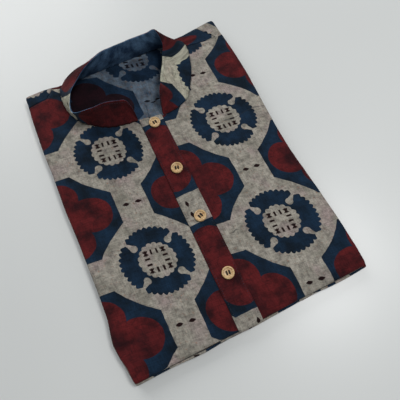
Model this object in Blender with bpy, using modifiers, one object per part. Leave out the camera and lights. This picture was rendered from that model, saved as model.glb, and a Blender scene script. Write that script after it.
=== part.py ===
"""A short kurta tunic, folded for the shelf and lying face up.

The cloth lies on the XY plane: +X runs across the chest, +Y from the bottom fold to the shoulders.
Every piece that a maker cuts or sews on is one object. The outline of each piece is drawn flat, as
it is cut, and is then rolled over the folded edges. Lengths are in metres, tables in millimetres.
"""

import math

import bmesh
import bpy
from mathutils import Vector

MM = 0.001

# The folded garment
FOLDED_WIDTH = 270 * MM
FOLDED_LENGTH = 365.8 * MM
SHOULDER_RISE = 0.020          # the shoulder end lies a little askew to the bottom fold
STACK_HEIGHT = 16 * MM
FOLD_RADIUS = 4.2 * MM
CLOTH = 1.2 * MM
SEAM_GAP = 0.3 * MM

# How the pieces lie on each other, as depths below the top of the front
UNDER_PLACKET_DEPTH = CLOTH + SEAM_GAP
BACK_DEPTH = UNDER_PLACKET_DEPTH + CLOTH + SEAM_GAP
LAYERS_HEIGHT = STACK_HEIGHT - FOLD_RADIUS - SEAM_GAP

# Where the flat part of the cloth ends and rolls over
FLAT_HALF_WIDTH = FOLDED_WIDTH / 2 - FOLD_RADIUS
QUARTER_ROLL = FOLD_RADIUS * math.pi / 2
CUT_HALF_WIDTH = FLAT_HALF_WIDTH + QUARTER_ROLL
CUT_BOTTOM = FOLD_RADIUS - QUARTER_ROLL
ROLL_STEPS = 4

# The origin is under the middle of the garment's box
LONGEST = FOLDED_LENGTH + SHOULDER_RISE * FLAT_HALF_WIDTH
CENTRE_ALONG = LONGEST / 2

COLLAR_WALL = 1.6 * MM
COLLAR_LIFT = 1.2 * MM
COLLAR_LEFT_END_ROUND = 10 * MM
COLLAR_RIGHT_END_ROUND = 19 * MM
COLLAR_ROWS = 6
COLLAR_STEPS = 8               # to each stretch of its table
NECK_STEPS = 3
COLLAR_BELLY = 1.6 * MM
COLLAR_END_SHARE = 0.12        # of the band's height, left standing at its two front ends

PLACKET_WIDTH = 28.2 * MM
PLACKET_TOP = 268.5 * MM
PLACKET_TOP_X = -2.2 * MM
PLACKET_BOTTOM_X = -5.6 * MM
PLACKET_TOP_SLANT = 2.2 * MM
UNDER_PLACKET_WIDTH = 25 * MM
UNDER_PLACKET_TOP = 289 * MM
UNDER_PLACKET_BOTTOM = 200 * MM
UNDER_PLACKET_TOP_X = 13 * MM

BUTTON_RADIUS = 7.0 * MM
BUTTON_THICKNESS = 2.6 * MM
BUTTON_DISH_RADIUS = 4.9 * MM
BUTTON_DISH_DEPTH = 0.8 * MM
BUTTON_HOLE_RADIUS = 0.85 * MM
BUTTON_HOLE_SPACING = 2.6 * MM
BUTTON_TURNS = 28
BUTTON_HOLE_SIDES = 10
BUTTON_OFF_CENTRE = 2.0 * MM
BUTTON_ALONG = {"button_1": 258.6, "button_2": 192.2, "button_3": 128.0, "button_4": 58.2}

# The collar band from its left front end, round the back of the neck, to its right front end.
# base is on the neck seam, top on the band's upper edge. Heights are above the top of the front.
COLLAR = [
    # base x, base y, base z, top x, top y, top z
    (-17.3, 271.4, 0.0, -16.5, 279.5, 34.0),
    (-33.0, 273.0, 0.0, -31.0, 284.0, 34.0),
    (-51.0, 277.5, 0.0, -46.5, 288.0, 34.0),
    (-67.0, 287.0, 0.0, -64.5, 287.0, 35.0),
    (-82.0, 302.0, 0.0, -84.5, 293.0, 33.0),
    (-90.0, 321.0, 0.0, -77.5, 316.5, 33.0),
    (-91.0, 341.0, 0.0, -66.3, 333.0, 25.0),
    (-86.0, 355.5, 0.0, -49.0, 346.0, 30.0),
    (-58.0, 360.2, -1.8, -27.0, 358.6, 31.0),
    (-28.0, 360.8, -1.8, -10.0, 359.0, 32.0),
    (2.0, 361.0, -1.8, 5.0, 359.0, 32.0),
    (32.0, 361.2, -1.8, 22.0, 358.8, 33.0),
    (60.0, 360.4, -1.8, 36.0, 358.4, 34.0),
    (79.0, 355.5, 0.0, 47.0, 357.0, 35.0),
    (82.0, 342.0, 0.0, 51.0, 346.0, 22.0),
    (78.0, 325.0, 0.0, 45.0, 333.0, 18.0),
    (72.0, 308.0, 0.0, 40.0, 322.0, 17.0),
    (62.0, 290.0, 0.0, 32.0, 308.0, 17.0),
    (50.0, 273.5, 0.0, 27.0, 299.0, 15.0),
    (33.0, 266.5, 0.0, 24.0, 292.0, 19.0),
    (13.9, 264.8, 0.0, 13.5, 284.0, 25.0),
]

# The table's rows where the front's and the yoke's shares of the neck seam begin and end
FRONT_NECK_LEFT = 5
FRONT_NECK_RIGHT = 15
BACK_NECK_FIRST = 7
BACK_NECK_LAST = 13
YOKE_CLEAR = 1.6               # millimetres from the collar's seam to the yoke's cut edge

# Where the seams of the shoulder end meet the neck, the armholes and the folded sides
NECK_LEFT = (-91.5, 347.0)
NECK_RIGHT = (82.3, 344.5)
YOKE_LEFT = [(-88.5, 357.0), (-98.0, 359.2)]
YOKE_RIGHT = [(84.8, 346.3), (113.0, 342.3), (122.6, 342.6)]
ARMHOLE_LEFT = [(-98.0, 359.2), (-109.0, 348.5), (-137.4, 346.0)]
ARMHOLE_RIGHT = [(106.4, 366.0), (122.9, 342.6), (137.4, 345.0)]

# Three rolled layers, from the underside up
LAYER_RINGS = [
    # share of the block's height, inset of its edge in millimetres
    (0.0, 2.2), (0.05, 0.8), (0.15, 0.0), (0.25, 0.8), (0.31, 2.4), (0.37, 0.8), (0.48, 0.1),
    (0.58, 0.9), (0.64, 2.6), (0.70, 1.0), (0.80, 0.2), (0.93, 0.7), (1.0, 2.2),
]
CORNERS = ((-1, -1), (1, -1), (1, 1), (-1, 1))
CORNER_STEPS = 3

# The back, as it lies inside the fold
BACK_SIDE_CLEAR = 0.5 * MM
BACK_BOTTOM = 6 * MM
BACK_TOP = 361.6 * MM
BACK_CORNER = 6 * MM
BACK_TOP_HALF_WIDTH = 95 * MM

# Colour and roughness of each finish
FINISHES = {
    "printed_cotton_cream": ((0.38, 0.34, 0.28, 1.0), 0.9),
    "printed_cotton_navy": ((0.012, 0.030, 0.075, 1.0), 0.9),
    "printed_cotton_maroon": ((0.12, 0.012, 0.015, 1.0), 0.9),
    "printed_cotton_wrong_side": ((0.13, 0.16, 0.21, 1.0), 0.92),
    "button_wood": ((0.62, 0.43, 0.24, 1.0), 0.45),
}
MERGE_DISTANCE = 1e-6


def clear_scene():
    for thing in list(bpy.data.objects):
        bpy.data.objects.remove(thing, do_unlink=True)


def make_collection(name):
    collection = bpy.data.collections.new(name)
    bpy.context.scene.collection.children.link(collection)
    return collection


def make_material(name):
    colour, roughness = FINISHES[name]
    material = bpy.data.materials.new(name)
    material.use_nodes = True
    shader = material.node_tree.nodes["Principled BSDF"]
    shader.inputs["Base Color"].default_value = colour
    shader.inputs["Roughness"].default_value = roughness
    shader.inputs["Metallic"].default_value = 0.0
    material.diffuse_color = colour
    return material


def make_object(name, mesh, material, collection):
    thing = bpy.data.objects.new(name, mesh)
    thing.data.materials.append(material)
    collection.objects.link(thing)
    return thing


def metres(points):
    return [tuple(value * MM for value in point) for point in points]


def through(points, steps):
    """A smooth line through the points, steps to each stretch, as a Catmull-Rom curve."""
    points = [Vector(point) for point in points]
    line = []
    for i in range(len(points) - 1):
        before = points[max(i - 1, 0)]
        start, end = points[i], points[i + 1]
        after = points[min(i + 2, len(points) - 1)]
        for step in range(steps):
            t = step / steps
            line.append(0.5 * (2 * start + (end - before) * t
                               + (2 * before - 5 * start + 4 * end - after) * t ** 2
                               + (3 * start - before - 3 * end + after) * t ** 3))
    line.append(points[-1])
    return line


def shoulder_end(across):
    """Where the folded garment ends at the shoulders, which slopes across it."""
    held = max(-FLAT_HALF_WIDTH, min(FLAT_HALF_WIDTH, across))
    return FOLDED_LENGTH + SHOULDER_RISE * held


def on_stack(across, along, lift):
    """The place in the folded garment of a point of the flat cloth, raised by lift.

    Past the flat part the cloth rolls down by a quarter turn, over the sides and both ends."""
    side = max(abs(across) - FLAT_HALF_WIDTH, 0.0)
    flat_end = shoulder_end(across) - FOLD_RADIUS
    below = max(FOLD_RADIUS - along, 0.0)
    beyond = max(along - flat_end, 0.0)
    end = below + beyond
    x = math.copysign(min(abs(across), FLAT_HALF_WIDTH), across)
    y = min(max(along, FOLD_RADIUS), flat_end)
    run = math.hypot(side, end)
    if run == 0.0:
        return Vector((x, y - CENTRE_ALONG, STACK_HEIGHT + lift))
    turn = max(side, end) / FOLD_RADIUS
    out = (FOLD_RADIUS + lift) * math.sin(turn)
    x += math.copysign(side / run * out, across)
    y += end / run * out * (-1 if below else 1)
    height = STACK_HEIGHT - FOLD_RADIUS + (FOLD_RADIUS + lift) * math.cos(turn)
    return Vector((x, y - CENTRE_ALONG, height))


def cut_flat(outline):
    """The flat piece inside an outline, cut into narrow strips where it rolls over an edge."""
    work = bmesh.new()
    corners = [work.verts.new((x, y, 0.0)) for x, y in outline]
    edges = [work.edges.new((corners[i - 1], corners[i])) for i in range(len(corners))]
    bmesh.ops.contextual_create(work, geom=edges)
    strips = [QUARTER_ROLL * step / ROLL_STEPS for step in range(ROLL_STEPS)]
    cuts = []
    for strip in strips:
        cuts.append(((FLAT_HALF_WIDTH + strip, 0, 0), (1, 0, 0)))
        cuts.append(((-FLAT_HALF_WIDTH - strip, 0, 0), (1, 0, 0)))
        cuts.append(((0, FOLD_RADIUS - strip, 0), (0, 1, 0)))
        end = FOLDED_LENGTH - FOLD_RADIUS + strip
        cuts.append(((0, end, 0), (-SHOULDER_RISE, 1, 0)))
    for place, normal in cuts:
        parts = work.verts[:] + work.edges[:] + work.faces[:]
        bmesh.ops.bisect_plane(work, geom=parts, dist=MERGE_DISTANCE, plane_co=place, plane_no=normal)
    bmesh.ops.recalc_face_normals(work, faces=work.faces)
    if work.faces[:] and sum(face.normal.z for face in work.faces) < 0:
        bmesh.ops.reverse_faces(work, faces=work.faces)
    return work


def add_wall(thing, thickness, offset):
    wall = thing.modifiers.new("wall", "SOLIDIFY")
    wall.thickness = thickness
    wall.offset = offset
    wall.use_even_offset = True


def make_skin(name, outline, lift, material, collection):
    """A cut piece that lies on the stack and rolls over its edges, with its outer face at lift."""
    work = cut_flat(outline)
    for vert in work.verts:
        vert.co = on_stack(vert.co.x, vert.co.y, lift)
    mesh = bpy.data.meshes.new(name)
    work.to_mesh(mesh)
    work.free()
    thing = make_object(name, mesh, material, collection)
    add_wall(thing, CLOTH, -1.0)
    return thing


def make_flat_piece(name, outline, depth, material, collection):
    """A piece that lies flat inside the fold, with its upper face depth below the front's."""
    curve = bpy.data.curves.new(name, "CURVE")
    curve.dimensions = "2D"
    curve.fill_mode = "BOTH"
    curve.extrude = CLOTH / 2
    line = curve.splines.new("POLY")
    line.points.add(len(outline) - 1)
    for point, (x, y) in zip(line.points, outline):
        point.co = (x, y, 0.0, 1.0)
    line.use_cyclic_u = True
    guide = bpy.data.objects.new(name + "_outline", curve)
    collection.objects.link(guide)
    bpy.context.view_layer.update()
    shown = guide.evaluated_get(bpy.context.evaluated_depsgraph_get())
    mesh = bpy.data.meshes.new_from_object(shown)
    bpy.data.objects.remove(guide, do_unlink=True)
    work = bmesh.new()
    work.from_mesh(mesh)
    bmesh.ops.remove_doubles(work, verts=work.verts, dist=MERGE_DISTANCE)
    bmesh.ops.recalc_face_normals(work, faces=work.faces)
    work.to_mesh(mesh)
    work.free()
    thing = make_object(name, mesh, material, collection)
    thing.location = (0.0, -CENTRE_ALONG, STACK_HEIGHT - depth - CLOTH / 2)
    return thing


def neck_seam(first, last):
    """Points of the neck seam, in millimetres, between two rows of the collar's table."""
    rows = [Vector(row[:2] + (0.0,)) for row in COLLAR[first:last + 1]]
    return [(point.x, point.y) for point in through(rows, NECK_STEPS)]


def front_outline():
    gap = SEAM_GAP / MM
    armhole_x, armhole_y = ARMHOLE_RIGHT[1]
    right = [(CUT_HALF_WIDTH / MM, ARMHOLE_RIGHT[-1][1] - gap), (armhole_x, armhole_y - gap)]
    right += [(x, y - gap) for x, y in YOKE_RIGHT[1::-1]] + [NECK_RIGHT]
    left = [NECK_LEFT, (YOKE_LEFT[0][0], YOKE_LEFT[0][1] - gap)]
    left += [(x + gap, y - gap) for x, y in ARMHOLE_LEFT[:-1]]
    left += [(-CUT_HALF_WIDTH / MM, ARMHOLE_LEFT[-1][1] - gap)]
    bottom = CUT_BOTTOM / MM
    hem = [(-CUT_HALF_WIDTH / MM, bottom), (CUT_HALF_WIDTH / MM, bottom)]
    neck = neck_seam(FRONT_NECK_RIGHT, len(COLLAR) - 1) + neck_seam(0, FRONT_NECK_LEFT)
    return metres(hem + right + neck + left)


def placket_centre(along):
    """The middle of the placket at this distance from the bottom fold: the strip lies askew."""
    return PLACKET_BOTTOM_X + (PLACKET_TOP_X - PLACKET_BOTTOM_X) * along / PLACKET_TOP


def placket_outline():
    low_x = placket_centre(CUT_BOTTOM)
    half = PLACKET_WIDTH / 2
    return [(low_x - half, CUT_BOTTOM), (low_x + half, CUT_BOTTOM),
            (PLACKET_TOP_X + half, PLACKET_TOP - PLACKET_TOP_SLANT),
            (PLACKET_TOP_X - half, PLACKET_TOP + PLACKET_TOP_SLANT)]


def under_placket_outline():
    """The under strip swings to the right at the neck, where the placket is open."""
    half = UNDER_PLACKET_WIDTH / 2
    low_x = placket_centre(UNDER_PLACKET_BOTTOM)
    return [(low_x - half, UNDER_PLACKET_BOTTOM), (low_x + half, UNDER_PLACKET_BOTTOM),
            (UNDER_PLACKET_TOP_X + half, UNDER_PLACKET_TOP),
            (UNDER_PLACKET_TOP_X - half, UNDER_PLACKET_TOP)]


def back_outline():
    half = FLAT_HALF_WIDTH - BACK_SIDE_CLEAR
    shoulder = BACK_TOP - BACK_CORNER
    return [(-half, BACK_BOTTOM), (half, BACK_BOTTOM), (half, shoulder),
            (BACK_TOP_HALF_WIDTH, BACK_TOP), (-BACK_TOP_HALF_WIDTH, BACK_TOP), (-half, shoulder)]


def yoke_outline():
    """The yoke's strip along the shoulders, with the back of the neck cut out of it."""
    beyond = QUARTER_ROLL - FOLD_RADIUS
    start = YOKE_LEFT[-1][0] * MM
    stop = ARMHOLE_RIGHT[0][0] * MM - SEAM_GAP
    back_neck = [(x, y + YOKE_CLEAR) for x, y in neck_seam(BACK_NECK_FIRST, BACK_NECK_LAST)]
    seam = YOKE_LEFT[::-1] + back_neck + YOKE_RIGHT + [(stop / MM, ARMHOLE_RIGHT[0][1])]
    return metres(seam) + [(stop, shoulder_end(stop) + beyond),
                           (start, shoulder_end(start) + beyond)]


def sleeve_outline(armhole, side):
    """The cap of a sleeve: all that shows of it lies past its armhole seam."""
    seam = [(x * MM + SEAM_GAP * side, y * MM) for x, y in armhole]
    seam[-1] = (side * CUT_HALF_WIDTH, seam[-1][1])
    beyond = QUARTER_ROLL - FOLD_RADIUS
    edge = side * CUT_HALF_WIDTH
    corner = (edge, shoulder_end(edge) + beyond)
    start = (seam[0][0], shoulder_end(seam[0][0]) + beyond)
    return seam + [corner, start]


def make_folded_layers(material, collection):
    """The back, sleeves and lower half that are folded under: one block with layered edges."""
    work = bmesh.new()
    loops = []
    for share, inset in LAYER_RINGS:
        loop = []
        for x_side, y_side in CORNERS:
            loop += rounded_corner(work, x_side, y_side, inset * MM, share * LAYERS_HEIGHT)
        loops.append(loop)
    for lower, upper in zip(loops, loops[1:]):
        for i in range(len(lower)):
            work.faces.new((lower[i - 1], lower[i], upper[i], upper[i - 1]))
    work.faces.new(loops[0])
    work.faces.new(loops[-1])
    bmesh.ops.recalc_face_normals(work, faces=work.faces)
    mesh = bpy.data.meshes.new("folded_layers")
    work.to_mesh(mesh)
    work.free()
    return make_object("folded_layers", mesh, material, collection)


def rounded_corner(work, x_side, y_side, inset, height):
    """The points of one ring round one corner of the block, in counter-clockwise order."""
    radius = FOLD_RADIUS
    centre_x = x_side * FLAT_HALF_WIDTH
    if y_side < 0:
        centre_y = radius
    else:
        centre_y = shoulder_end(centre_x) - radius
    middle = math.atan2(y_side, x_side)
    points = []
    for step in range(CORNER_STEPS + 1):
        angle = middle - math.pi / 4 + math.pi / 2 * step / CORNER_STEPS
        x = centre_x + (radius - inset) * math.cos(angle)
        y = centre_y + (radius - inset) * math.sin(angle)
        points.append(work.verts.new((x, y - CENTRE_ALONG, height)))
    return points


def collar_profile(from_left, from_right):
    """How much of the band's height stands at this distance from its two rounded front ends."""
    run = min(from_left / COLLAR_LEFT_END_ROUND, from_right / COLLAR_RIGHT_END_ROUND, 1.0)
    return max(math.sqrt(1 - (1 - run) ** 2), COLLAR_END_SHARE)


def make_collar_band(material, collection):
    base = through([Vector(row[:3]) * MM for row in COLLAR], COLLAR_STEPS)
    top = through([Vector(row[3:]) * MM for row in COLLAR], COLLAR_STEPS)
    reach = [0.0]
    for before, after in zip(base, base[1:]):
        reach.append(reach[-1] + (after - before).length)
    work = bmesh.new()
    rows = []
    for i in range(len(base)):
        share = collar_profile(reach[i], reach[-1] - reach[i])
        foot = base[i] + Vector((0, 0, COLLAR_LIFT))
        rise = (top[i] - base[i]) * share
        ahead = base[min(i + 1, len(base) - 1)] - base[max(i - 1, 0)]
        outward = rise.cross(ahead).normalized()
        column = []
        for row in range(COLLAR_ROWS):
            level = row / (COLLAR_ROWS - 1)
            belly = COLLAR_BELLY * math.sin(math.pi * level) * share
            place = foot + rise * level - outward * belly
            place += Vector((0, -CENTRE_ALONG, STACK_HEIGHT))
            column.append(work.verts.new(place))
        rows.append(column)
    for left, right in zip(rows, rows[1:]):
        for row in range(COLLAR_ROWS - 1):
            work.faces.new((left[row], right[row], right[row + 1], left[row + 1]))
    bmesh.ops.recalc_face_normals(work, faces=work.faces)
    mesh = bpy.data.meshes.new("collar_band")
    work.to_mesh(mesh)
    work.free()
    thing = make_object("collar_band", mesh, material, collection)
    add_wall(thing, COLLAR_WALL, 0.0)
    return thing


def button_mesh(material, collection, cutters):
    """A turned, dished button with four holes, centred on its underside."""
    rim = [(BUTTON_RADIUS - 0.5 * MM, 0.0), (BUTTON_RADIUS, 0.6 * MM),
           (BUTTON_RADIUS, BUTTON_THICKNESS - 0.7 * MM),
           (BUTTON_RADIUS - 0.7 * MM, BUTTON_THICKNESS),
           (BUTTON_DISH_RADIUS + 0.5 * MM, BUTTON_THICKNESS),
           (BUTTON_DISH_RADIUS, BUTTON_THICKNESS - BUTTON_DISH_DEPTH)]
    profile = [(0.0, 0.0)] + rim + [(0.0, BUTTON_THICKNESS - BUTTON_DISH_DEPTH)]
    work = bmesh.new()
    line = [work.verts.new((x, 0.0, z)) for x, z in profile]
    edges = [work.edges.new(pair) for pair in zip(line, line[1:])]
    bmesh.ops.spin(work, geom=line + edges, cent=(0, 0, 0), axis=(0, 0, 1),
                   angle=math.tau, steps=BUTTON_TURNS, use_merge=True)
    bmesh.ops.remove_doubles(work, verts=work.verts, dist=MERGE_DISTANCE)
    bmesh.ops.recalc_face_normals(work, faces=work.faces)
    blank = bpy.data.meshes.new("button_blank")
    work.to_mesh(blank)
    work.free()
    button = make_object("button_blank", blank, material, collection)
    for x_side in (-1, 1):
        for y_side in (-1, 1):
            place = (x_side * BUTTON_HOLE_SPACING / 2, y_side * BUTTON_HOLE_SPACING / 2,
                     BUTTON_THICKNESS / 2)
            bpy.ops.mesh.primitive_cylinder_add(vertices=BUTTON_HOLE_SIDES,
                                                radius=BUTTON_HOLE_RADIUS,
                                                depth=BUTTON_THICKNESS * 2, location=place)
            cutter = bpy.context.active_object
            cutter.name = f"hole_cutter_{x_side}_{y_side}"
            cutter.hide_render = True
            cutter.display_type = "WIRE"
            for home in cutter.users_collection:
                home.objects.unlink(cutter)
            cutters.objects.link(cutter)
            hole = button.modifiers.new("hole", "BOOLEAN")
            hole.operation = "DIFFERENCE"
            hole.solver = "EXACT"
            hole.object = cutter
    bpy.context.view_layer.update()
    shown = button.evaluated_get(bpy.context.evaluated_depsgraph_get())
    mesh = bpy.data.meshes.new_from_object(shown)
    mesh.name = "button"
    bpy.data.objects.remove(button, do_unlink=True)
    return mesh


def make_buttons(material, collection, cutters):
    mesh = button_mesh(material, collection, cutters)
    for name, along in BUTTON_ALONG.items():
        button = bpy.data.objects.new(name, mesh)
        collection.objects.link(button)
        x = placket_centre(along * MM) + BUTTON_OFF_CENTRE
        height = STACK_HEIGHT + 2 * SEAM_GAP + CLOTH
        button.location = (x, along * MM - CENTRE_ALONG, height)


def main():
    clear_scene()
    kurta = make_collection("kurta_tunic")
    cutters = make_collection("cutters")
    cream = make_material("printed_cotton_cream")
    navy = make_material("printed_cotton_navy")
    maroon = make_material("printed_cotton_maroon")
    wrong_side = make_material("printed_cotton_wrong_side")
    wood = make_material("button_wood")

    make_folded_layers(cream, kurta)
    make_flat_piece("back_panel", back_outline(), BACK_DEPTH, wrong_side, kurta)
    make_flat_piece("under_placket", under_placket_outline(), UNDER_PLACKET_DEPTH, cream, kurta)
    make_skin("front_panel", front_outline(), 0.0, cream, kurta)
    make_skin("yoke", yoke_outline(), 0.0, navy, kurta)
    make_skin("sleeve_left", sleeve_outline(ARMHOLE_LEFT, -1), 0.0, cream, kurta)
    make_skin("sleeve_right", sleeve_outline(ARMHOLE_RIGHT, 1), 0.0, cream, kurta)
    make_skin("placket", placket_outline(), CLOTH + SEAM_GAP, maroon, kurta)
    make_collar_band(cream, kurta)
    make_buttons(wood, kurta, cutters)


main()
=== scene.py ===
import math

import bmesh
import bpy
import numpy as np
from mathutils import Matrix, Vector
from mathutils.geometry import delaunay_2d_cdt
from mathutils.kdtree import KDTree


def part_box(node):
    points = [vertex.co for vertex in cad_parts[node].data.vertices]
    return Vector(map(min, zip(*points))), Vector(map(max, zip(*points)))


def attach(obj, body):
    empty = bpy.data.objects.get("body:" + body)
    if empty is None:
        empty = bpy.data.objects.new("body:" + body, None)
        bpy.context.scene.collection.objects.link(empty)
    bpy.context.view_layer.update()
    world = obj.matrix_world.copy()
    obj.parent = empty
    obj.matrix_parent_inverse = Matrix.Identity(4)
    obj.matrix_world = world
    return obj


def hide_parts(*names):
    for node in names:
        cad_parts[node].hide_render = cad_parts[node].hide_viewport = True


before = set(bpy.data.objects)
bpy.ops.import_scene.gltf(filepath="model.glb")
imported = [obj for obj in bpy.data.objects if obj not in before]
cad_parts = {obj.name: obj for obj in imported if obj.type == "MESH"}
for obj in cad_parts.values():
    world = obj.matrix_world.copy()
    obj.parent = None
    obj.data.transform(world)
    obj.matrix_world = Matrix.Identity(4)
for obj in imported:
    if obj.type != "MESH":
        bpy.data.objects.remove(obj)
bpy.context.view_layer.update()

mm = 0.001
mergeDistance = 1e-6
frontLow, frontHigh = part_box("front_panel")
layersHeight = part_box("folded_layers")[1].z

# lengths below are in millimetres: x across the chest, y up from the bottom fold
garment = {
    "width": (frontHigh.x - frontLow.x) / mm,
    "length": 365.8,
    "shoulderRise": 0.020,     # the shoulder end is a little askew
    "stack": frontHigh.z / mm,
    "foldRadius": 4.2,
    "wall": 0.7,               # one cloth as it shows
    "tuck": 2.2,               # the front goes on round the fold by this much
}
flatHalf = garment["width"] / 2 - garment["foldRadius"]
quarterRoll = garment["foldRadius"] * math.pi / 2
cutHalf = flatHalf + quarterRoll
cutBottom = garment["foldRadius"] - quarterRoll
centreAlong = (garment["length"] + garment["shoulderRise"] * flatHalf) / 2

# the print's block repeats: medallions at the corners of each cell, octagons in its middle
block = {
    "column": 142.7, "row": 144.3, "lean": 0.143,
    "medallionX": 77.9, "medallionY": 94.9,
}


def shoulderEnd(x):
    return garment["length"] + garment["shoulderRise"] * np.clip(x, -flatHalf, flatHalf)


def onStack(x, y, lift):
    # flat cut to folded place, in metres: past the flat part the cloth rolls over the edge
    radius = garment["foldRadius"]
    side = np.maximum(np.abs(x) - flatHalf, 0)
    flatEnd = shoulderEnd(x) - radius
    below = np.maximum(radius - y, 0)
    end = below + np.maximum(y - flatEnd, 0)
    run = np.hypot(side, end)
    safe = np.where(run > 0, run, 1)
    turn = np.maximum(side, end) / radius
    out = (radius + lift) * np.sin(turn)
    px = np.clip(x, -flatHalf, flatHalf) + np.sign(x) * side / safe * out
    py = np.clip(y, radius, flatEnd) + end / safe * out * np.where(below > 0, -1, 1)
    pz = garment["stack"] - radius + (radius + lift) * np.cos(turn)
    return np.stack([px, py - centreAlong, pz], 1) * mm


# how far each edge stands out, up the garment on its sides and across it on its ends
sides = {
    "left": [(0, 2.2), (8, 2.4), (18, 3.2), (30, 6.4), (44, 8.0), (56, 6.6), (70, 4.2), (100, 3.0),
             (150, 3.0), (200, 3.9), (250, 2.4), (280, 3.2), (300, 2.8), (335, 1.4), (352, -0.6),
             (370, -0.6)],
    "right": [(0, 4.6), (20, 5.4), (50, 5.2), (65, 4.6), (85, 3.4), (100, 2.8), (133, 0.6), (155, -0.6),
              (190, -0.4), (205, 0.2), (230, 1.4), (250, 2.6), (285, 4.2), (310, 4.0), (345, 2.2),
              (372, 0.6)],
    "reach": 46,
}
ends = {
    "bottom": [(-140, 2.4), (-60, 3.2), (-10, 3.4), (40, 2.6), (140, 2.6)],
    "top": [(-140, 2.5), (-100, 2.5), (-90, 0.0), (86, 0.0), (100, 2.0), (112, 3.4), (125, 5.0),
            (140, 4.6)],
    "reach": 30,
}


def readOff(table, at):
    # a value between the rows of a table of (place, value)
    return np.interp(at, *np.array(table, float).T)


def edgeShare(distance, reach):
    # 1 at an edge, and 0 further in than its reach
    return np.clip(1 - distance / reach, 0, 1) ** 2


def withSides(x, y):
    near = np.clip((np.abs(x) - flatHalf + sides["reach"]) / sides["reach"], 0, 1)
    near = near * near * (3 - 2 * near)
    return np.where(x < 0, -readOff(sides["left"], y), readOff(sides["right"], y)) * near


def withEnds(x, y):
    low = edgeShare(y, ends["reach"]) * readOff(ends["bottom"], x)
    high = edgeShare(shoulderEnd(x) - y, ends["reach"]) * readOff(ends["top"], x)
    return high - low


creaseLine = {"sway": 0.5, "swayTurn": 5.0, "fade": 4.0, "endShare": 0.3}


def relief(x, y, creases):
    # soft troughs and ridges, each along a line that sways a little and fades at both ends
    height = np.zeros_like(x)
    for x0, y0, x1, y1, half, rise in creases:
        along = np.array([x1 - x0, y1 - y0], float)
        length = np.hypot(*along)
        along /= length
        t = ((x - x0) * along[0] + (y - y0) * along[1]) / length
        off = (y - y0) * along[0] - (x - x0) * along[1]
        off = off + half * creaseLine["sway"] * np.sin(t * creaseLine["swayTurn"] + x0)
        faded = np.clip(np.minimum(t, 1 - t) * creaseLine["fade"] + creaseLine["endShare"], 0, 1)
        height += rise * np.exp(-(off / half) ** 2) * faded
    return height


edgeFall = {
    "bottom": 3.6, "bottomReach": 24.0, "side": 1.7, "sideReach": 17.0, "sideStart": 4.0,
    "top": 1.2, "topReach": 14.0,
}


def fallAway(x, y):
    # the cloth slopes down towards its folds before it rolls over them
    low = edgeShare(y, edgeFall["bottomReach"]) * edgeFall["bottom"]
    fromSide = flatHalf + edgeFall["sideStart"] - np.abs(x)
    beside = edgeShare(fromSide, edgeFall["sideReach"]) * edgeFall["side"]
    top = edgeShare(shoulderEnd(x) - y, edgeFall["topReach"]) * edgeFall["top"]
    return -np.maximum(np.maximum(low, beside), top)


def softWaves(x, y, size, rise):
    # the ratios between the waves' lengths keep them from repeating
    return rise * (np.sin(x / size + 1.7 * np.sin(y / size / 1.9)) * np.cos(y / size / 1.3 + 0.4)
                   + 0.5 * np.sin((x + y) / size / 0.61 + 2.0))


def spread(outline, spacing):
    # the outline with points no further apart than the spacing
    line = []
    for i, start in enumerate(outline):
        stop = outline[(i + 1) % len(outline)]
        gap = math.hypot(stop[0] - start[0], stop[1] - start[1])
        count = max(int(math.ceil(gap / spacing)), 1)
        for k in range(count):
            t = k / count
            line.append((start[0] + (stop[0] - start[0]) * t, start[1] + (stop[1] - start[1]) * t))
    return line


def insideOf(points, outline):
    x, y = points.T
    inside = np.zeros(len(points), bool)
    for i in range(len(outline)):
        x0, y0 = outline[i - 1]
        x1, y1 = outline[i]
        if y0 == y1:
            continue
        crosses = (y0 > y) != (y1 > y)
        inside ^= crosses & (x < (x1 - x0) * (y - y0) / (y1 - y0) + x0)
    return inside


clothMesh = {"rowShare": 0.87, "edgeClear": 0.55, "joined": 1e-4}       # shares of the spacing


def cutCloth(outline, spacing):
    # a fine triangle mesh that fills the cut exactly to its edge
    edge = spread(outline, spacing)
    low, high = np.array(edge).min(0), np.array(edge).max(0)
    rows = np.arange(low[1] + spacing / 2, high[1], spacing * clothMesh["rowShare"])
    columns = np.arange(low[0], high[0] + spacing, spacing)
    grid = np.array([(x + (k % 2) * spacing / 2, y) for k, y in enumerate(rows) for x in columns])
    grid = grid[insideOf(grid, edge)]
    near = KDTree(len(edge))
    for i, (x, y) in enumerate(edge):
        near.insert((x, y, 0), i)
    near.balance()
    clear = spacing * clothMesh["edgeClear"]
    grid = [(x, y) for x, y in grid if near.find((x, y, 0))[2] > clear]
    points = [Vector(point) for point in edge + grid]
    loop = list(range(len(edge)))
    verts, _, faces, _, _, _ = delaunay_2d_cdt(points, [], [loop], 1, clothMesh["joined"])
    return np.array([tuple(v) for v in verts]), [list(face) for face in faces]


def cutArea(outline):
    total = 0
    for i in range(len(outline)):
        total += outline[i - 1][0] * outline[i][1] - outline[i][0] * outline[i - 1][1]
    return abs(total) / 2 * mm * mm


def addMap(mesh, across, along):
    layer = mesh.uv_layers.new(name="blockPlace")
    corner = np.zeros(len(mesh.loops), int)
    mesh.loops.foreach_get("vertex_index", corner)
    places = np.stack([across[corner], along[corner]], 1).astype(np.float32)
    layer.uv.foreach_set("vector", places.ravel())


def show(name, data):
    thing = bpy.data.objects.new(name, data)
    bpy.context.scene.collection.objects.link(thing)
    return thing


def evaluated(thing):
    # a plain mesh of the object as its modifiers leave it
    bpy.context.view_layer.update()
    return bpy.data.meshes.new_from_object(thing.evaluated_get(bpy.context.evaluated_depsgraph_get()))


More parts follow.
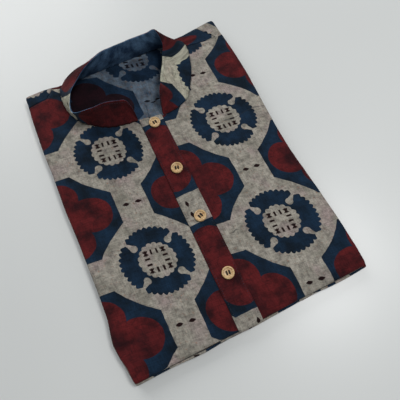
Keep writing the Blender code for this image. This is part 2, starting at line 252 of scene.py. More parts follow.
def faceOut(mesh, merge=False):
    work = bmesh.new()
    work.from_mesh(mesh)
    if merge:
        bmesh.ops.remove_doubles(work, verts=work.verts, dist=mergeDistance)
    bmesh.ops.recalc_face_normals(work, faces=work.faces)
    work.to_mesh(mesh)
    work.free()


def finished(work, name):
    mesh = bpy.data.meshes.new(name)
    work.to_mesh(mesh)
    work.free()
    return mesh


def makePiece(name, verts, faces, materials):
    mesh = bpy.data.meshes.new(name)
    mesh.from_pydata([tuple(v) for v in verts], [], faces)
    mesh.update()
    mesh.shade_smooth()
    for material in materials:
        mesh.materials.append(material)
    return show(name, mesh)


def addWall(piece, thickness):
    # inward from the face that shows
    wall = piece.modifiers.new("wall", "SOLIDIFY")
    wall.thickness = thickness * mm
    wall.offset = -1.0


def makeSkin(name, outline, spacing, lift, pattern, material, toSides=True):
    # lift and pattern are functions of the flat cut
    points, faces = cutCloth(outline, spacing)
    x, y = points.T
    verts = onStack(x, y, lift(x, y))
    if toSides:
        verts[:, 0] += withSides(x, y) * mm
    verts[:, 1] += withEnds(x, y) * mm
    piece = makePiece(name, verts, faces, [material])
    addMap(piece.data, *pattern(x, y))
    addWall(piece, garment["wall"])
    return piece


def frontBlock(x, y):
    return x - block["medallionX"], y + block["lean"] * x - block["medallionY"]


def through(points, steps):
    # a Catmull-Rom line through the points
    points = [Vector(point) for point in points]
    line = []
    for i in range(len(points) - 1):
        before, after = points[max(i - 1, 0)], points[min(i + 2, len(points) - 1)]
        start, end = points[i], points[i + 1]
        for step in range(steps):
            t = step / steps
            line.append(0.5 * (2 * start + (end - before) * t
                               + (2 * before - 5 * start + 4 * end - after) * t ** 2
                               + (3 * start - before - 3 * end + after) * t ** 3))
    line.append(points[-1])
    return line


class Wire:
    # one value in a node tree, so that a sum of nodes reads as a sum
    def __init__(self, tree, socket):
        self.tree = tree
        self.socket = socket

    def __add__(self, other):
        return calc("ADD", self, other)

    def __sub__(self, other):
        return calc("SUBTRACT", self, other)

    def __rsub__(self, other):
        return calc("SUBTRACT", other, self)

    def __mul__(self, other):
        return calc("MULTIPLY", self, other)

    def __truediv__(self, other):
        return calc("DIVIDE", self, other)

    def __abs__(self):
        return calc("ABSOLUTE", self)


def calc(operation, *values, clamp=False):
    tree = next(value.tree for value in values if isinstance(value, Wire))
    node = tree.nodes.new("ShaderNodeMath")
    node.operation = operation
    node.use_clamp = clamp
    for socket, value in zip(node.inputs, values):
        if isinstance(value, Wire):
            tree.links.new(value.socket, socket)
        else:
            socket.default_value = value
    return Wire(tree, node.outputs[0])


def most(a, b):
    return calc("MAXIMUM", a, b)


def hypot(a, b):
    return calc("SQRT", a * a + b * b)


def under(value, limit, soft=0.45):
    # 1 below the limit, with a soft edge
    return calc("MULTIPLY_ADD", value - limit, -1 / soft, 0.5, clamp=True)


def climb(value, low, slope):
    # 0 up to the low value, then up to 1
    return calc("MULTIPLY_ADD", value - low, slope, 0.0, clamp=True)


def cosine(value):
    return calc("COSINE", value)


def boxMark(a, b, halfA, halfB):
    return under(most(abs(a) / halfA, abs(b) / halfB), 1, 0.4)


def lozenge(a, b, halfA, halfB):
    power = 1.35        # between a diamond and an oval
    return under(calc("POWER", abs(a) / halfA, power) + calc("POWER", abs(b) / halfB, power), 1, 0.35)


def splitPlace(tree, place):
    split = tree.nodes.new("ShaderNodeSeparateXYZ")
    tree.links.new(place, split.inputs[0])
    return Wire(tree, split.outputs[0]), Wire(tree, split.outputs[1])


def newGroup(name, inputs, outputs):
    # inputs: name -> (socket type, value)
    tree = bpy.data.node_groups.new(name, "ShaderNodeTree")
    for label, (kind, value) in inputs.items():
        socket = tree.interface.new_socket(label, in_out="INPUT", socket_type="NodeSocket" + kind)
        if value is not None:
            socket.default_value = value
    for label, kind in outputs.items():
        tree.interface.new_socket(label, in_out="OUTPUT", socket_type="NodeSocket" + kind)
    given = tree.nodes.new("NodeGroupInput")
    result = tree.nodes.new("NodeGroupOutput")
    return tree, given, result


def noise(tree, place, scale, detail=2.0, rough=0.5, stretch=(1, 1, 1)):
    mapping = tree.nodes.new("ShaderNodeMapping")
    mapping.inputs["Scale"].default_value = stretch
    tree.links.new(place, mapping.inputs["Vector"])
    node = tree.nodes.new("ShaderNodeTexNoise")
    node.inputs["Scale"].default_value = scale
    node.inputs["Detail"].default_value = detail
    node.inputs["Roughness"].default_value = rough
    tree.links.new(mapping.outputs["Vector"], node.inputs["Vector"])
    return node


def mixColour(tree, factor, first, second, blend="MIX"):
    node = tree.nodes.new("ShaderNodeMix")
    node.data_type = "RGBA"
    node.blend_type = blend
    for socket, value in ((node.inputs[0], factor), (node.inputs[6], first), (node.inputs[7], second)):
        if isinstance(value, Wire):
            tree.links.new(value.socket, socket)
        elif isinstance(value, bpy.types.NodeSocket):
            tree.links.new(value, socket)
        else:
            socket.default_value = value
    return node.outputs[2]


def tone(red, green, blue):
    # a screen colour, 0 to 255, as the linear one that a socket takes
    values = [value / 255 for value in (red, green, blue)]
    return tuple(v / 12.92 if v <= 0.04045 else ((v + 0.055) / 1.055) ** 2.4 for v in values) + (1.0,)


medallion = {
    "disc": 18.5, "discScallop": 1.8, "discTurns": 9,      # scallops are twice the turns
    "ring": 37.0, "ringScallop": 2.4, "ringTurns": 20,
    # the drop-shaped gaps: a bulb, and a neck that opens again at its mouth
    "bulbAt": 26.8, "bulb": 4.0, "neckStart": 3.6, "neckSlope": 0.27,
    "neckHalf": 1.3, "mouthAt": 35.6, "mouthSlope": 0.9,
}
octagon = {"half": 53.7, "diagonal": 51.7, "straightShare": 0.6}
quatrefoil = {"lobe": 21.3, "lobeOut": 26.5, "middle": 25.0}
marks = {
    # brown marks: place from the disc's middle, then half sizes
    "dashUp": (3.3, 10.2, 1.15, 2.9), "dashAcross": (9.8, 3.2, 2.9, 1.15), "knotAt": 9.9,
    "knotUpright": (1.1, 3.1), "knotArm": (1.1, 2.8), "knotArmSlope": 0.9, "knotReach": 2.9,
    "seedAt": 6.9, "seedLong": 3.9, "seedShort": 2.1,
}
wander = {"scales": ((0.045, 1.0), (0.21, 0.34)), "reach": 2.4}     # scale and share of each drift


def makeBlockPrint():
    tree, given, result = newGroup("blockPrint", {
        "Place": ("Vector", None), "Wobble": ("Float", 1.6)},
        {"Navy": "Float", "Maroon": "Float", "Brown": "Float"})
    place = given.outputs["Place"]
    shifted = place
    for scale, share in wander["scales"]:      # the hand block never prints quite true
        drift = noise(tree, place, scale, 1.0)
        centred = tree.nodes.new("ShaderNodeVectorMath")
        centred.operation = "SUBTRACT"
        centred.inputs[1].default_value = (0.5, 0.5, 0.5)
        tree.links.new(drift.outputs["Color"], centred.inputs[0])
        sized = tree.nodes.new("ShaderNodeVectorMath")
        sized.operation = "SCALE"
        tree.links.new(centred.outputs[0], sized.inputs[0])
        amount = Wire(tree, given.outputs["Wobble"]) * (wander["reach"] * share)
        tree.links.new(amount.socket, sized.inputs["Scale"])
        added = tree.nodes.new("ShaderNodeVectorMath")
        tree.links.new(shifted, added.inputs[0])
        tree.links.new(sized.outputs[0], added.inputs[1])
        shifted = added.outputs[0]
    x, y = splitPlace(tree, shifted)
    across = calc("WRAP", x, block["column"] / 2, -block["column"] / 2)
    up = calc("WRAP", y, block["row"] / 2, -block["row"] / 2)
    a, b = abs(across), abs(up)
    far = hypot(a, b)
    turn = calc("ARCTAN2", up, across)

    discRim = abs(cosine(turn * medallion["discTurns"])) * medallion["discScallop"] + medallion["disc"]
    ringRim = abs(cosine(turn * medallion["ringTurns"])) * medallion["ringScallop"] + medallion["ring"]
    disc = under(far, discRim)
    ring = under(far, ringRim)
    along, beside = (a + b) * math.sqrt(0.5), abs(a - b) * math.sqrt(0.5)     # to the diagonal
    bulb = under(hypot(along - medallion["bulbAt"], beside), medallion["bulb"])
    neck = most(medallion["neckStart"] - (along - medallion["bulbAt"]) * medallion["neckSlope"],
                (along - medallion["mouthAt"]) * medallion["mouthSlope"] + medallion["neckHalf"])
    slot = under(beside, neck) * under(medallion["bulbAt"] - along, 0)
    ring = ring * (1 - disc) * (1 - most(bulb, slot))

    fromX, fromY = block["column"] / 2 - a, block["row"] / 2 - b      # from the octagon's middle
    straight = octagon["straightShare"]
    corner = along * straight + far * (1 - straight)
    eight = under(most(fromX, fromY), octagon["half"]) * under(octagon["diagonal"] - corner, 0)
    out = quatrefoil["lobeOut"]
    lobes = calc("MINIMUM", hypot(fromX - out, fromY), hypot(fromX, fromY - out))
    maroon = most(under(lobes, quatrefoil["lobe"]), under(hypot(fromX, fromY), quatrefoil["middle"])) * eight

    brown = boxMark(a - marks["knotAt"], b - marks["knotAt"], *marks["knotUpright"])
    for atX, atY, halfX, halfY in (marks["dashUp"], marks["dashAcross"]):
        brown = most(brown, boxMark(a - atX, b - atY, halfX, halfY))
    knotX, knotY = a - marks["knotAt"], b - marks["knotAt"]
    arms = boxMark(abs(knotX) - abs(knotY) * marks["knotArmSlope"], knotY, *marks["knotArm"])
    brown = most(brown, arms * boxMark(knotX, knotY, marks["knotReach"], marks["knotUpright"][1]))
    seedAt, long, short = marks["seedAt"], marks["seedLong"], marks["seedShort"]
    seeds = most(lozenge(a - seedAt, fromY, long, short), lozenge(fromX, b - seedAt, short, long))
    brown = most(brown, seeds)
    for label, value in (("Navy", most(ring, eight)), ("Maroon", maroon), ("Brown", brown)):
        tree.links.new(value.socket, result.inputs[label])
    return tree


mottling = {
    # scale, start, end, detail, roughness, strength, dye
    "cream": [
        (0.055, 0.42, 0.66, 3.0, 0.55, 1.0, "Cream stain"),
        (0.031, 0.5, 0.68, 3.0, 0.55, 0.9, "Cream blush"),
        (0.16, 0.45, 0.72, 6.0, 0.75, 0.9, "Fleck dark"),
        (0.33, 0.6, 0.72, 3.0, 0.6, 0.55, "Fleck rust"),
    ],
    "navy": [(0.04, 0.36, 0.62, 3.0, 0.55, 1.0, "Navy")],
    "maroon": [(0.05, 0.34, 0.6, 4.0, 0.55, 1.0, "Maroon")],
    "veinScale": 0.06, "veinHalf": 0.012, "veinSoft": 0.03, "veinShare": 0.55,
}


def makeDyes():
    # the four dyes with their mottling, over the block print's masks
    tree, given, result = newGroup("blockDyes", {
        "Place": ("Vector", None), "Wobble": ("Float", 1.0),
        "Cream": ("Color", tone(171, 165, 153)), "Cream stain": ("Color", tone(136, 132, 121)),
        "Cream blush": ("Color", tone(163, 147, 143)),
        "Navy": ("Color", tone(24, 45, 66)), "Navy deep": ("Color", tone(15, 27, 38)),
        "Maroon": ("Color", tone(94, 30, 32)), "Maroon deep": ("Color", tone(46, 18, 22)),
        "Brown": ("Color", tone(30, 14, 15)), "Fleck dark": ("Color", tone(88, 84, 80)),
        "Fleck rust": ("Color", tone(150, 96, 70))}, {"Color": "Color"})
    place = given.outputs["Place"]
    printed = tree.nodes.new("ShaderNodeGroup")
    printed.node_tree = blockPrint
    tree.links.new(place, printed.inputs["Place"])
    tree.links.new(given.outputs["Wobble"], printed.inputs["Wobble"])

    def mottle(first, rows):
        colour = given.outputs[first]
        for scale, low, high, detail, rough, strength, dye in rows:
            cloud = Wire(tree, noise(tree, place, scale, detail, rough).outputs["Fac"])
            share = climb(cloud, low, 1 / (high - low)) * strength
            colour = mixColour(tree, share, colour, given.outputs[dye])
        return colour

    maroon = mottle("Maroon deep", mottling["maroon"])
    vein = Wire(tree, noise(tree, place, mottling["veinScale"], 2.0).outputs["Fac"])
    vein = under(abs(vein - 0.5), mottling["veinHalf"], mottling["veinSoft"]) * mottling["veinShare"]
    maroon = mixColour(tree, vein, maroon, given.outputs["Maroon deep"])
    colour = mottle("Cream", mottling["cream"])
    for mask, dye in (("Navy", mottle("Navy deep", mottling["navy"])), ("Maroon", maroon),
                      ("Brown", given.outputs["Brown"])):
        colour = mixColour(tree, Wire(tree, printed.outputs[mask]), colour, dye)
    tree.links.new(colour, result.inputs["Color"])
    return tree


weaving = {
    "slubs": ((0.9, 0.12, 1), (0.12, 0.9, 1)), "overShare": 0.16, "grainShare": 0.5,
    "shadeStart": 0.82, "shadeSlope": 2.6,
}


def makeWeave():
    tree, given, result = newGroup("cottonWeave", {
        "Place": ("Vector", None), "Thread": ("Float", 0.62)}, {"Height": "Float", "Shade": "Float"})
    place = given.outputs["Place"]
    thread = Wire(tree, given.outputs["Thread"])
    x, y = splitPlace(tree, place)
    over = cosine(x * math.pi / thread) * cosine(y * math.pi / thread)
    slubs = [Wire(tree, noise(tree, place, 1.0, 2.0, 0.6, stretch).outputs["Fac"])
             for stretch in weaving["slubs"]]
    grain = slubs[0] + slubs[1]
    height = over * weaving["overShare"] + grain * weaving["grainShare"]
    shade = climb(grain, weaving["shadeStart"], weaving["shadeSlope"])
    tree.links.new(height.socket, result.inputs["Height"])
    tree.links.new(shade.socket, result.inputs["Shade"])
    return tree


def makeCrack():
    # a hairline where wax or a crease kept or took the dye, from one place to another
    tree, given, result = newGroup("dyeCrack", {
        "Place": ("Vector", None), "From": ("Vector", (0, 0, 0)), "To": ("Vector", (50, 0, 0)),
        "Waver": ("Float", 1.4), "Turns": ("Float", 7.0), "Half width": ("Float", 0.4)},
        {"Mask": "Float"})
    (x, y), (x0, y0), (x1, y1) = [
        splitPlace(tree, given.outputs[label]) for label in ("Place", "From", "To")]
    runX, runY = x1 - x0, y1 - y0
    length = hypot(runX, runY)
    t = ((x - x0) * runX + (y - y0) * runY) / (length * length)
    off = ((y - y0) * runX - (x - x0) * runY) / length
    off = off + calc("SINE", t * Wire(tree, given.outputs["Turns"])) * Wire(tree, given.outputs["Waver"])
    line = under(abs(off), Wire(tree, given.outputs["Half width"]), 0.5)
    within = under(abs(t - 0.5), 0.5, 0.04)
    tree.links.new((line * within).socket, result.inputs["Mask"])
    return tree


blockPrint = makeBlockPrint()
blockDyes = makeDyes()
cottonWeave = makeWeave()
dyeCrack = makeCrack()


def groupNode(tree, group, values):
    node = tree.nodes.new("ShaderNodeGroup")
    node.node_tree = group
    for label, value in values.items():
        if isinstance(value, bpy.types.NodeSocket):
            tree.links.new(value, node.inputs[label])
        else:
            node.inputs[label].default_value = value
    return node


def newMaterial(name, settings):
    # settings: Principled input -> value
    material = bpy.data.materials.new(name)
    material.use_nodes = True
    shader = material.node_tree.nodes["Principled BSDF"]
    for label, value in settings.items():
        shader.inputs[label].default_value = value
    return material, material.node_tree, shader


def addBump(tree, shader, height, strength, distance):
    bump = tree.nodes.new("ShaderNodeBump")
    bump.inputs["Strength"].default_value = strength
    bump.inputs["Distance"].default_value = distance * mm
    tree.links.new(height, bump.inputs["Height"])
    tree.links.new(bump.outputs["Normal"], shader.inputs["Normal"])


cottonLook = {
    "surface": {"Roughness": 0.92, "Specular IOR Level": 0.1, "Sheen Weight": 0.02, "Sheen Roughness": 0.6},
    "bump": 0.35, "bumpDepth": 0.35, "shadeShare": 0.5, "shade": tone(150, 150, 152),
    "crackShare": 0.75, "crack": tone(38, 44, 52),
    "plainScale": 0.045, "plainStart": 0.36, "plainSlope": 3.4,      # a stretch of one dye
}


def makeCotton(name, look):
    material, tree, shader = newMaterial(name, cottonLook["surface"])
    place = tree.nodes.new("ShaderNodeUVMap")
    place.uv_map = "blockPlace"
    place = place.outputs["UV"]
    dyes = groupNode(tree, blockDyes, {"Place": place, **look.get("dyes", {})})
    weave = groupNode(tree, cottonWeave, {"Place": place})
    colour = dyes.outputs["Color"]
    if look.get("plain"):
        cloud = Wire(tree, noise(tree, place, cottonLook["plainScale"], 4.0, 0.6).outputs["Fac"])
        share = climb(cloud, cottonLook["plainStart"], cottonLook["plainSlope"])
        colour = mixColour(tree, share, *look["plain"])
    for start, stop, waver in look.get("cracks", []):
        crack = groupNode(tree, dyeCrack, {
            "Place": place, "From": start + (0,), "To": stop + (0,), "Waver": waver})
        share = Wire(tree, crack.outputs["Mask"]) * cottonLook["crackShare"]
        colour = mixColour(tree, share, colour, cottonLook["crack"])
    shade = Wire(tree, weave.outputs["Shade"]) * cottonLook["shadeShare"]
    colour = mixColour(tree, shade, colour, cottonLook["shade"], "MULTIPLY")
    tree.links.new(colour, shader.inputs["Base Color"])
    addBump(tree, shader, weave.outputs["Height"], cottonLook["bump"], cottonLook["bumpDepth"])
    return material


plainLook = {"start": 0.35, "slope": 3.3, "bump": 0.25, "bumpDepth": 0.1}


def makePlain(name, look):
    # wood or thread: two tones in streaks, on the object's own place
    material, tree, shader = newMaterial(name, {"Roughness": look["roughness"]})
    place = tree.nodes.new("ShaderNodeTexCoord").outputs["Object"]
    streak = noise(tree, place, look["scale"], 3.0, 0.6, look["stretch"])
    share = climb(Wire(tree, streak.outputs["Fac"]), plainLook["start"], plainLook["slope"])
    tree.links.new(mixColour(tree, share, look["dark"], look["light"]), shader.inputs["Base Color"])
    addBump(tree, shader, streak.outputs["Fac"], plainLook["bump"], plainLook["bumpDepth"])
    return material


printedCotton = makeCotton("printedCotton", {"cracks": [
    ((-1.0, 142.0), (55.0, 148.0), 1.6), ((-57.0, 4.0), (-48.0, 6.0), 0.6)]})
placketCotton = makeCotton("placketCotton", {})
collarCotton = makeCotton("collarCotton", {"cracks": [((261, 24), (267, 62), 0.8)], "dyes": {
    "Cream": tone(194, 192, 170), "Cream stain": tone(168, 170, 152), "Cream blush": tone(188, 180, 164)}})
collarLining = makeCotton("collarLining", {"plain": (tone(40, 64, 92), tone(98, 130, 162))})
# the cloth's wrong side, for the inside of the back and the under placket: its print shows paler and bluer,
# and all its dyes are also darkened as painted shade for the shade inside the neck opening and under the
# collar
wrongSideWithPaintedShade = makeCotton("wrongSideWithPaintedShade", {"dyes": {
    "Cream": tone(104, 119, 134), "Cream stain": tone(46, 62, 80), "Cream blush": tone(86, 97, 112),
    "Navy": tone(30, 52, 76), "Navy deep": tone(16, 32, 48),
    "Maroon": tone(40, 19, 26), "Maroon deep": tone(22, 14, 20), "Brown": tone(18, 18, 28)}})
buttonWood = makePlain("buttonWood", {"scale": 240, "stretch": (1, 5, 1), "roughness": 0.42,
                                      "dark": tone(160, 118, 72), "light": tone(220, 190, 140)})
buttonThread = makePlain("buttonThread", {"scale": 900, "stretch": (1, 1, 1), "roughness": 0.8,
                                          "dark": tone(14, 8, 8), "light": tone(32, 18, 16)})
seamThread = makePlain("seamThread", {"scale": 700, "stretch": (1, 1, 1), "roughness": 0.8,
                                      "dark": tone(34, 40, 54), "light": tone(58, 62, 74)})
print("materials made")


collar = {
    # base x, y, z, then top x, y, z, from the left front end round the back; z above the front
    "stations": [
        (-17.3, 271.4, 0.0, -16.5, 279.5, 34.0), (-33.0, 273.0, 0.0, -31.0, 284.0, 34.0),
        (-51.0, 277.5, 0.0, -46.5, 288.0, 34.0), (-67.0, 287.0, 0.0, -64.5, 287.0, 35.0),
        (-82.0, 302.0, 0.0, -84.5, 293.0, 33.0), (-90.0, 321.0, 0.0, -77.5, 317.0, 33.5),
        (-91.0, 341.0, 0.0, -67.0, 335.0, 26.5), (-86.0, 355.5, 0.0, -49.5, 347.0, 30.5),
        (-58.0, 360.2, -1.8, -27.0, 358.6, 31.0), (-28.0, 360.8, -1.8, -10.0, 359.0, 32.0),
        (2.0, 361.0, -1.8, 5.0, 359.0, 32.0), (32.0, 361.2, -1.8, 22.0, 358.8, 33.0),
        (60.0, 360.4, -1.8, 36.0, 358.4, 34.0), (79.0, 355.5, 0.0, 47.0, 357.0, 35.0),
        (82.0, 342.0, 0.0, 51.0, 346.0, 22.0), (78.0, 325.0, 0.0, 45.0, 333.0, 18.0),
        (72.0, 308.0, 0.0, 40.0, 322.0, 17.0), (62.0, 290.0, 0.0, 32.0, 308.0, 17.0),
        (50.0, 273.5, 0.0, 27.0, 299.0, 15.0), (33.0, 266.5, 0.0, 24.0, 292.0, 19.0),
        (13.9, 264.8, 0.0, 13.5, 284.0, 25.0)],
    "lift": 0.5, "wall": 1.7, "endRounds": (10.0, 19.0), "belly": 1.6,
    "rows": 14, "steps": 12, "topSteps": 6, "seamSteps": 4,
    "pucker": 0.35, "puckerGap": 8.5, "wave": 0.5, "waveGap": 17.0,
    "swell": [(70, 0.0), (96, 4.2), (118, 6.0), (136, 6.5), (160, 0.0)],    # where it bellies outward
    # how the strip's print sits: distance along it, then the block's column and row place
    "strip": [(0, -94.0, 54.2), (60, -34.7, 54.2), (90, -5.0, 51.0), (118, 19.5, 49.0),
              (135, 41.0, 50.0), (296, 252.0, 54.0), (305, 264.0, 50.0), (330, 272.0, 30.0),
              (345, 280.0, 20.0), (365, 297.0, 26.0), (388, 318.0, 35.0), (428, 358.0, 40.0)],
    "bandHeight": 35.0, "cutHeight": 36.0, "stripLength": 428.0, "stitchDown": 2.4, "endShare": 0.12,
    # how far the print leans along the band between its seam and its top edge
    "skew": [(0, 0.0), (65, 0.0), (92, 18.0), (130, 18.0), (200, 0.0), (290, 0.0), (305, -13.0),
             (335, -7.0), (348, 0.0), (388, -15.0), (428, -15.0)],
}
seams = {
    "neckLeft": (-91.5, 347.0), "neckRight": (82.3, 344.5),
    "yokeLeft": [(-88.5, 357.0), (-98.0, 359.2)],
    "yokeRight": [(84.8, 346.3), (113.0, 342.3), (122.6, 342.6)],
    "armholeLeft": [(-98.0, 359.2), (-109.0, 348.5), (-137.4, 346.0)],
    "armholeRight": [(106.4, 366.0), (122.9, 342.6), (137.4, 345.0)],
    "gap": 0.3, "yokeClear": 1.6,
}
tuckHalf = cutHalf + garment["tuck"]
tuckBottom = cutBottom - garment["tuck"]


def neckSeam(first, last):
    rows = [Vector(row[:2] + (0.0,)) for row in collar["stations"][first:last + 1]]
    return [(point.x, point.y) for point in through(rows, collar["seamSteps"])]


def frontOutline():
    gap = seams["gap"]
    armLeft, armRight = seams["armholeLeft"], seams["armholeRight"]
    line = [(-tuckHalf, tuckBottom), (tuckHalf, tuckBottom), (tuckHalf, armRight[-1][1] - gap)]
    line += [(armRight[1][0], armRight[1][1] - gap)]
    line += [(x, y - gap) for x, y in seams["yokeRight"][1::-1]] + [seams["neckRight"]]
    line += neckSeam(15, 20) + neckSeam(0, 5)
    line += [seams["neckLeft"], (seams["yokeLeft"][0][0], seams["yokeLeft"][0][1] - gap)]
    line += [(x + gap, y - gap) for x, y in armLeft[:-1]] + [(-tuckHalf, armLeft[-1][1] - gap)]
    return line


front = {
    "spacing": 2.1, "waveSize": 31, "waveRise": 0.28,
    # x, y from, x, y to, half width, rise: the shop's folds, pulls at the placket, and slack
    "creases": [
        (-132, 96, -86, 76, 5.0, 0.8), (-128, 64, -96, 20, 6.0, 1.0), (-134, 30, -104, 48, 3.4, -0.9),
        (-120, 300, -96, 244, 8.0, 0.6), (-60, 196, -22, 214, 5.0, -0.5), (-132, 190, -90, 176, 4.0, -0.6),
        (14, 30, 66, 44, 4.4, 0.7), (12, 24, 44, 12, 3.0, -0.6), (18, 92, 60, 84, 3.2, -0.45),
        (24, 262, 74, 282, 6.0, 0.7), (62, 300, 96, 332, 6.5, 0.8), (96, 262, 132, 226, 5.0, -0.7),
        (58, 226, 134, 222, 2.2, -0.35), (100, 148, 134, 126, 5.0, 0.7), (104, 60, 134, 22, 6.0, 0.8),
        (-24, 262, -74, 268, 4.0, 0.6), (-104, 338, -96, 300, 5.0, -0.6), (-40, 20, -12, 60, 4.0, 0.4)],
}


def frontLift(x, y):
    waves = softWaves(x, y, front["waveSize"], front["waveRise"])
    return relief(x, y, front["creases"]) + waves + fallAway(x, y)


frontCut = frontOutline()
frontPanel = makeSkin("frontPanel", frontCut, front["spacing"], frontLift, frontBlock, printedCotton)
print("front cut and laid")

placket = {
    "width": 28.2, "top": 268.5, "topX": -2.2, "bottomX": -5.6, "slant": 2.2,
    "lift": 1.6, "spacing": 1.7, "edgeDrop": 0.5, "edgeSoft": 2.4,
    "pucker": 0.12, "puckerGap": 3.1, "puckerReach": 5.0, "printY": 140.5,
    # the block was set down askew: where its octagon column runs, and how far it slipped
    "column": [(7, 4.0), (140, -9.5), (215, -8.0), (262, -3.0)], "slip": [(215, 0.0), (262, 7.0)],
    "creases": [(-18, 228, 10, 224, 3.0, -0.35), (-18, 160, 8, 156, 2.4, -0.3), (-19, 96, 6, 92, 3.2, 0.35),
                (-20, 30, 6, 36, 3.0, 0.5), (-18, 44, 8, 40, 2.0, -0.35)],
}


def placketCentre(y):
    return placket["bottomX"] + (placket["topX"] - placket["bottomX"]) * y / placket["top"]


def stripOutline(strip, bottom):
    # a strip of the placket, from its bottom edge to a slanted top
    half, low = strip["width"] / 2, placketCentre(bottom)
    return [(low - half, bottom), (low + half, bottom),
            (strip["topX"] + half, strip["top"] - strip["slant"]),
            (strip["topX"] - half, strip["top"] + strip["slant"])]


def placketLift(x, y):
    edge = placket["width"] / 2 - np.abs(x - placketCentre(y))
    drop = edgeShare(edge, placket["edgeSoft"]) * placket["edgeDrop"]
    near = np.clip(1 - edge / placket["puckerReach"], 0, 1)
    pull = placket["pucker"] * np.sin(y / placket["puckerGap"]) * near      # from the stitching
    return placket["lift"] + frontLift(x, y) + relief(x, y, placket["creases"]) - drop + pull


def placketBlock(x, y):
    column = readOff(placket["column"], y)
    return x - column + block["column"] / 2, y - placket["printY"] + readOff(placket["slip"], y)


placketCut = stripOutline(placket, tuckBottom)
placketStrip = makeSkin("placketStrip", placketCut, placket["spacing"], placketLift,
                        placketBlock, placketCotton, toSides=False)

underPlacket = {
    "width": 25.0, "top": 289.0, "bottom": 200.0, "topX": 13.0, "slant": 0.0, "depth": 1.5,
    "waveSize": 17, "waveRise": 0.15, "spacing": 2.0, "printX": 4.0,
}


def underPlacketLift(x, y):
    return softWaves(x, y, underPlacket["waveSize"], underPlacket["waveRise"]) - underPlacket["depth"]


def underPlacketBlock(x, y):
    return x - underPlacket["printX"], y - underPlacket["top"] - block["row"] / 2


underCut = stripOutline(underPlacket, underPlacket["bottom"])
underStrip = makeSkin("underPlacketStrip", underCut, underPlacket["spacing"], underPlacketLift,
                      underPlacketBlock, wrongSideWithPaintedShade, toSides=False)

caps = {
    "spacing": 1.6, "waveSize": 19, "waveRise": 0.3,
    "creases": [(-132, 366, -104, 360, 3.0, 0.6), (112, 362, 132, 352, 3.0, 0.7)],
    # the yoke is cut crosswise: the tip of a red lobe points along the right shoulder
    "yokeY": 354.5, "yokeWide": (70.0, 84.0, 0.9),       # from x to x, how much wider the print gets
    "yokeAcross": [(-140, -179.95), (80, 40.05), (122, 54.7)],
    # the block's place on each sleeve
    "leftPrint": (-120.0, 377.0), "rightPrint": (84.65, 331.85),
}


def yokeOutline():
    beyond = quarterRoll - garment["foldRadius"]
    start, stop = seams["yokeLeft"][-1][0], seams["armholeRight"][0][0] - seams["gap"]
    backNeck = [(x, y + seams["yokeClear"]) for x, y in neckSeam(7, 13)]
    line = seams["yokeLeft"][::-1] + backNeck + seams["yokeRight"]
    line += [(stop, seams["armholeRight"][0][1])]
    return line + [(stop, shoulderEnd(stop) + beyond), (start, shoulderEnd(start) + beyond)]


def sleeveOutline(armhole, side):
    beyond = quarterRoll - garment["foldRadius"]
    line = [(x + seams["gap"] * side, y) for x, y in armhole]
    line[-1] = (side * tuckHalf, line[-1][1])
    corner = (side * tuckHalf, shoulderEnd(side * tuckHalf) + beyond)
    return line + [corner, (line[0][0], shoulderEnd(line[0][0]) + beyond)]


def capLift(x, y):
    waves = softWaves(x, y, caps["waveSize"], caps["waveRise"])
    return fallAway(x, y) + waves + relief(x, y, caps["creases"])


def yokeBlock(x, y):
    start, stop, more = caps["yokeWide"]
    wide = np.clip((x - start) / (stop - start), 0, 1) * more + 1
    across = readOff(caps["yokeAcross"], x)
    return block["column"] / 2 - (y - caps["yokeY"]) * wide, block["row"] / 2 - across


def sleeveBlock(place):
    return lambda x, y: (x - place[0], y - place[1])


yokeCut = yokeOutline()
yokePiece = makeSkin("yokePiece", yokeCut, caps["spacing"], capLift, yokeBlock, printedCotton)
sleeveLeftCut = sleeveOutline(seams["armholeLeft"], -1)
sleeveLeft = makeSkin("sleeveLeft", sleeveLeftCut, caps["spacing"], capLift,
                      sleeveBlock(caps["leftPrint"]), printedCotton)
sleeveRightCut = sleeveOutline(seams["armholeRight"], 1)
sleeveRight = makeSkin("sleeveRight", sleeveRightCut, caps["spacing"], capLift,
                       sleeveBlock(caps["rightPrint"]), printedCotton)
print("placket, yoke and sleeves laid")

inside = {
    "top": 361.6, "bottom": 30.0, "corner": 6.0, "topHalf": 95.0, "depth": 3.0, "spacing": 3.0,
    "waveSize": 23, "waveRise": 0.3, "fallShare": 0.5,
    "seamStart": 343.0, "seamReach": 17.0, "seamDepth": 1.2,
    "medallion": (11.0, 359.2), "lean": 0.24, "squeeze": 1.08,
    "creases": [(-70, 330, -20, 300, 7, 0.9), (-60, 345, -10, 338, 4, -0.7), (20, 330, 60, 350, 6, 0.8),
                (-2, 312, 30, 296, 4, 0.7), (-46, 296, -10, 280, 5, -0.6)],
}


def insideLift(x, y):
    # it comes up to the collar's seam at the back of the neck
    seam = np.clip((y - inside["seamStart"]) / inside["seamReach"], 0, 1) ** 2
    waves = softWaves(x, y, inside["waveSize"], inside["waveRise"])
    loose = relief(x, y, inside["creases"]) + waves + fallAway(x, y) * inside["fallShare"]
    return loose * (1 - seam) - inside["depth"] * (1 - seam) - inside["seamDepth"] * seam


def insideBlock(x, y):
    across = x - inside["medallion"][0]
    return across, (y - inside["medallion"][1] + inside["lean"] * across) * inside["squeeze"]


def insideOutline():
    half, topHalf = flatHalf - 0.5, inside["topHalf"]
    low, top, cut = inside["bottom"], inside["top"], inside["corner"]
    return [(-half, low), (half, low), (half, top - cut), (topHalf, top), (-topHalf, top), (-half, top - cut)]


insideCut = insideOutline()
backInside = makeSkin("backInside", insideCut, inside["spacing"], insideLift,
                      insideBlock, wrongSideWithPaintedShade, toSides=False)


def collarStrip(s):
    at, column, row = np.array(collar["strip"], float).T
    return np.interp(s, at, column), np.interp(s, at, row)


